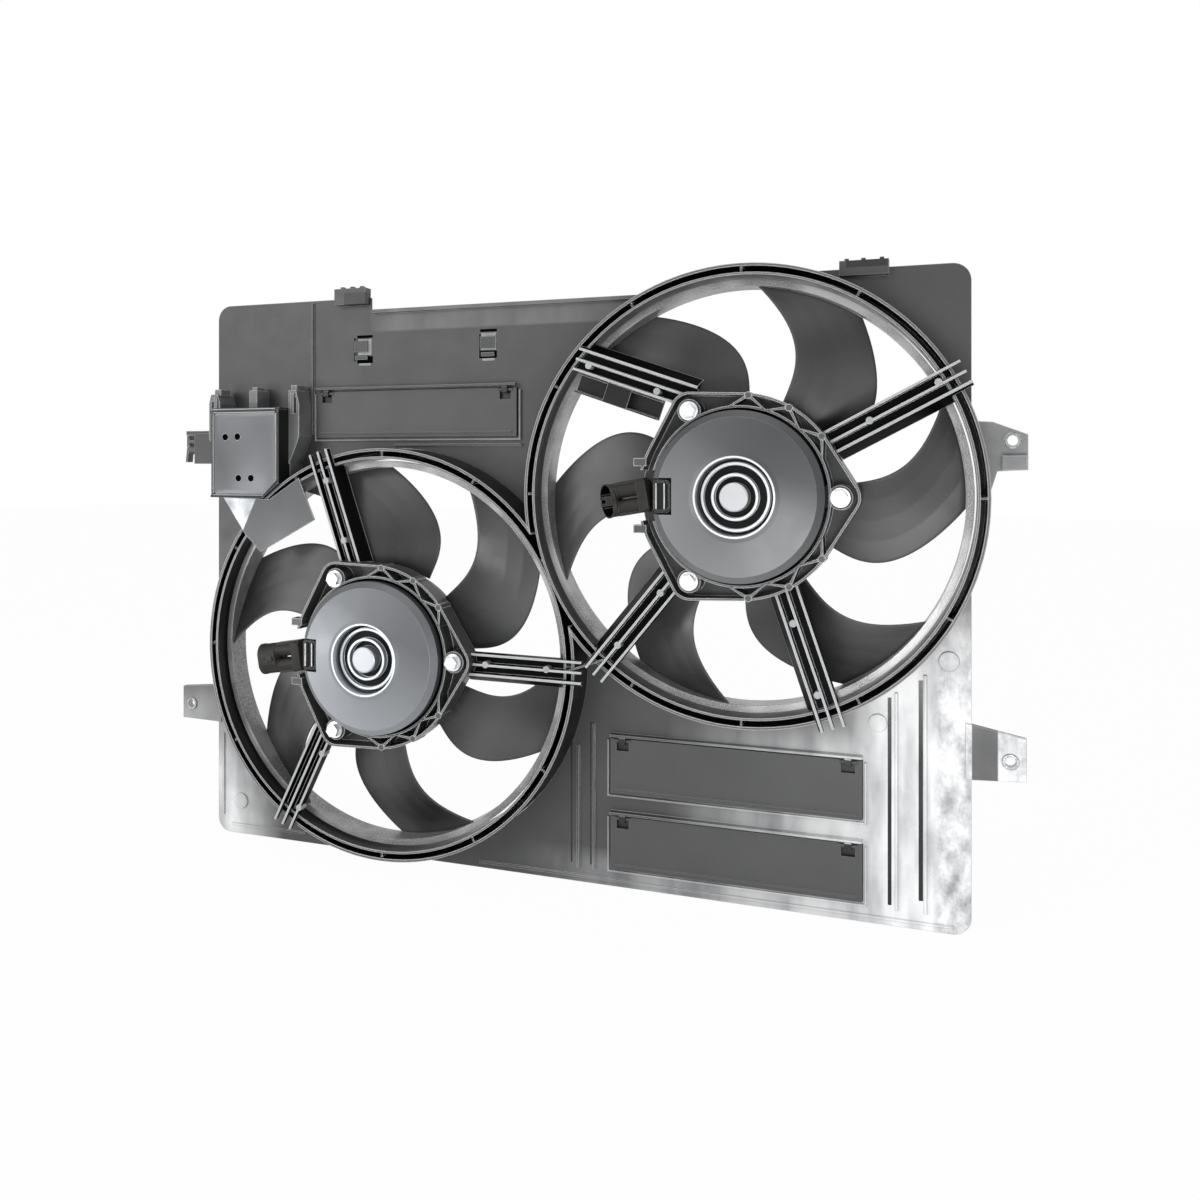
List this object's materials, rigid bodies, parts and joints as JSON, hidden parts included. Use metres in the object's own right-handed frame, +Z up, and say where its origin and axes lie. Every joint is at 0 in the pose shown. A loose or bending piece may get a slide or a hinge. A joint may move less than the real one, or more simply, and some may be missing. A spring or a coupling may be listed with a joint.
{
  "type": "radiator cooling fan assembly",
  "caption": "Vehicle radiator cooling fan assembly: a moulded shroud panel with side-by-side ring housings, swept-blade electric fans on spoked carriers and ram-air flaps.",
  "frame": {"origin": "middle of the shroud panel's flat face that lies on the radiator", "axes": "+X to the right along the panel's length as seen from the engine side, +Y from the engine side towards the radiator along the fans' axes, +Z up"},
  "size_m": [0.726, 0.062, 0.49],
  "materials": {
    "shroud_plastic": "black glass-filled polyamide moulding, satin where it is flat",
    "flap_plastic": "black polyamide moulding, satin",
    "fan_plastic": "black polyamide, fine matt",
    "band_plastic": "black polyamide, worn grey on its rim",
    "motor_cap_steel": "drawn zinc-coated steel, satin grey",
    "motor_can_steel": "drawn zinc-coated steel, satin grey",
    "bearing_steel": "ground steel",
    "shaft_steel": "ground steel",
    "zinc_steel": "bright zinc-plated steel",
    "ferrite": "dark grey ferrite",
    "core_steel": "stacked steel laminations, simplified to one core",
    "copper_winding": "enamelled copper, simplified",
    "brown_resin": "moulded phenolic resin",
    "carbon": "carbon brush material",
    "connector_plastic": "black polyamide plug housing",
    "tinned_brass": "tinned brass blades",
    "module_case": "grey painted aluminium cover",
    "shield_sheet": "thin folded aluminium sheet"
  },
  "bodies": {
    "shroud": {"panel_upper": "shroud_plastic", "panel_lower": "shroud_plastic", "panel_corner_left": "shroud_plastic", "panel_corner_right": "shroud_plastic", "left_ring": "shroud_plastic", "right_ring": "shroud_plastic", "left_motor_carrier": "shroud_plastic", "right_motor_carrier": "shroud_plastic", "left_spokes": "shroud_plastic", "right_spokes": "shroud_plastic", "lug_right_upper": "shroud_plastic", "lug_left_upper": "shroud_plastic", "module_holder": "shroud_plastic", "harness_clip": "shroud_plastic", "left_motor_can": "motor_can_steel", "left_bearing_rear": "bearing_steel", "left_bearing_front": "bearing_steel", "left_motor_magnets": "ferrite", "left_brush_plate": "brown_resin", "left_brushes": "carbon", "left_motor_cap": "motor_cap_steel", "left_motor_bolts": "zinc_steel", "left_connector": "connector_plastic", "left_terminals": "tinned_brass", "right_motor_can": "motor_can_steel", "right_bearing_rear": "bearing_steel", "right_bearing_front": "bearing_steel", "right_motor_magnets": "ferrite", "right_brush_plate": "brown_resin", "right_brushes": "carbon", "right_motor_cap": "motor_cap_steel", "right_motor_bolts": "zinc_steel", "right_connector": "connector_plastic", "right_terminals": "tinned_brass", "control_module": "module_case", "heat_shield": "shield_sheet", "lug_sleeves": "zinc_steel"},
    "left_fan": {"left_fan_hub": "fan_plastic", "left_fan_blades": "fan_plastic", "left_fan_band": "band_plastic", "left_shaft": "shaft_steel", "left_fan_nut": "zinc_steel", "left_armature_core": "core_steel", "left_windings": "copper_winding", "left_commutator": "copper_winding"},
    "right_fan": {"right_fan_hub": "fan_plastic", "right_fan_blades": "fan_plastic", "right_fan_band": "band_plastic", "right_shaft": "shaft_steel", "right_fan_nut": "zinc_steel", "right_armature_core": "core_steel", "right_windings": "copper_winding", "right_commutator": "copper_winding"},
    "flap_upper_door": {"flap_upper": "flap_plastic"},
    "flap_lower_inner_door": {"flap_lower_inner": "flap_plastic"},
    "flap_lower_outer_door": {"flap_lower_outer": "flap_plastic"}
  },
  "joints": [
    {"name": "left_fan_spin", "type": "hinge", "parent": "shroud", "child": "left_fan", "pos_m": [-0.1363, 0, -0.062], "axis": [0, 1, 0], "continuous": true},
    {"name": "right_fan_spin", "type": "hinge", "parent": "shroud", "child": "right_fan", "pos_m": [0.1639, 0, 0.0726], "axis": [0, 1, 0], "continuous": true},
    {"name": "flap_upper_swing", "type": "hinge", "parent": "shroud", "child": "flap_upper_door", "pos_m": [-0.121, -0.0054, 0.1575], "axis": [-1, 0, 0], "range_deg": [0, 75]},
    {"name": "flap_lower_inner_swing", "type": "hinge", "parent": "shroud", "child": "flap_lower_inner_door", "pos_m": [0.1515, -0.0054, -0.123], "axis": [-1, 0, 0], "range_deg": [0, 75]},
    {"name": "flap_lower_outer_swing", "type": "hinge", "parent": "shroud", "child": "flap_lower_outer_door", "pos_m": [0.1515, -0.0054, -0.1845], "axis": [-1, 0, 0], "range_deg": [0, 75]}
  ]
}
